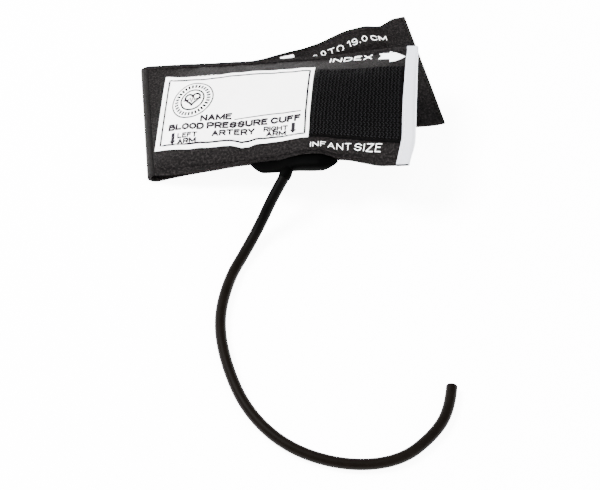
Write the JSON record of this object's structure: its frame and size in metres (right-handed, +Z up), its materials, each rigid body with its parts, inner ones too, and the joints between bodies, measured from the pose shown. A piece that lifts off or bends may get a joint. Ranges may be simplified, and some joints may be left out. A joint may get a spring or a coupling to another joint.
{
  "type": "blood pressure cuff",
  "caption": "Infant-size blood pressure cuff in black nylon, folded in half, with a hook-and-loop closure, a rubber bladder inside and one air tube.",
  "frame": {"origin": "on the surface that the cuff lies on, under the middle of the folded cuff", "axes": "+X from the fold towards the index edge, +Y away from the tube, +Z up"},
  "size_m": [0.1468, 0.2588, 0.037],
  "materials": {
    "nylon_cloth": "coated woven nylon, charcoal black",
    "loop_pile": "short brushed loop pile, black",
    "hook_nylon": "woven hook tape, deep black",
    "black_thread": "twisted polyester thread",
    "white_thread": "twisted polyester thread",
    "white_tape": "woven binding tape, pale grey-white",
    "label_cloth": "coated label cloth, white",
    "bladder_rubber": "smooth moulded rubber, black",
    "tube_rubber": "smooth extruded rubber, dark brown-black"
  },
  "bodies": {
    "back_leaf": {"back_outer_panel": "nylon_cloth", "back_inner_panel": "nylon_cloth", "loop_patch": "loop_pile", "loop_patch_stitching": "black_thread", "end_hem": "nylon_cloth", "end_hem_stitching": "black_thread", "back_edge_stitching": "black_thread"},
    "lower_fold": {"lower_fold_outer_cloth": "nylon_cloth", "lower_fold_inner_cloth": "nylon_cloth"},
    "upper_fold": {"upper_fold_outer_cloth": "nylon_cloth", "upper_fold_inner_cloth": "nylon_cloth"},
    "front_leaf": {"top_fold_outer_cloth": "nylon_cloth", "top_fold_inner_cloth": "nylon_cloth", "front_outer_panel": "nylon_cloth", "front_inner_panel": "nylon_cloth", "front_edge_stitching": "black_thread", "index_binding": "white_tape", "index_binding_stitching": "white_thread", "name_label": "label_cloth", "label_stitching": "white_thread", "hook_tape": "hook_nylon", "hook_rows": "hook_nylon", "hook_tape_stitching": "black_thread", "bladder_upper_sheet": "bladder_rubber", "bladder_lower_sheet": "bladder_rubber", "bladder_port": "bladder_rubber", "tube": "tube_rubber"}
  },
  "joints": [
    {"name": "fold_lower", "type": "hinge", "parent": "back_leaf", "child": "lower_fold", "pos_m": [-0.06788, -0.01042, 0.0006], "axis": [0.0854, -0.9963, 0], "range_deg": [0, 56]},
    {"name": "fold_middle", "type": "hinge", "parent": "lower_fold", "child": "upper_fold", "pos_m": [-0.06942, -0.01055, 0.00289], "axis": [0.0854, -0.9963, 0], "range_deg": [0, 56]},
    {"name": "fold_upper", "type": "hinge", "parent": "upper_fold", "child": "front_leaf", "pos_m": [-0.06839, -0.01046, 0.00546], "axis": [0.0854, -0.9963, 0], "range_deg": [0, 56]}
  ]
}
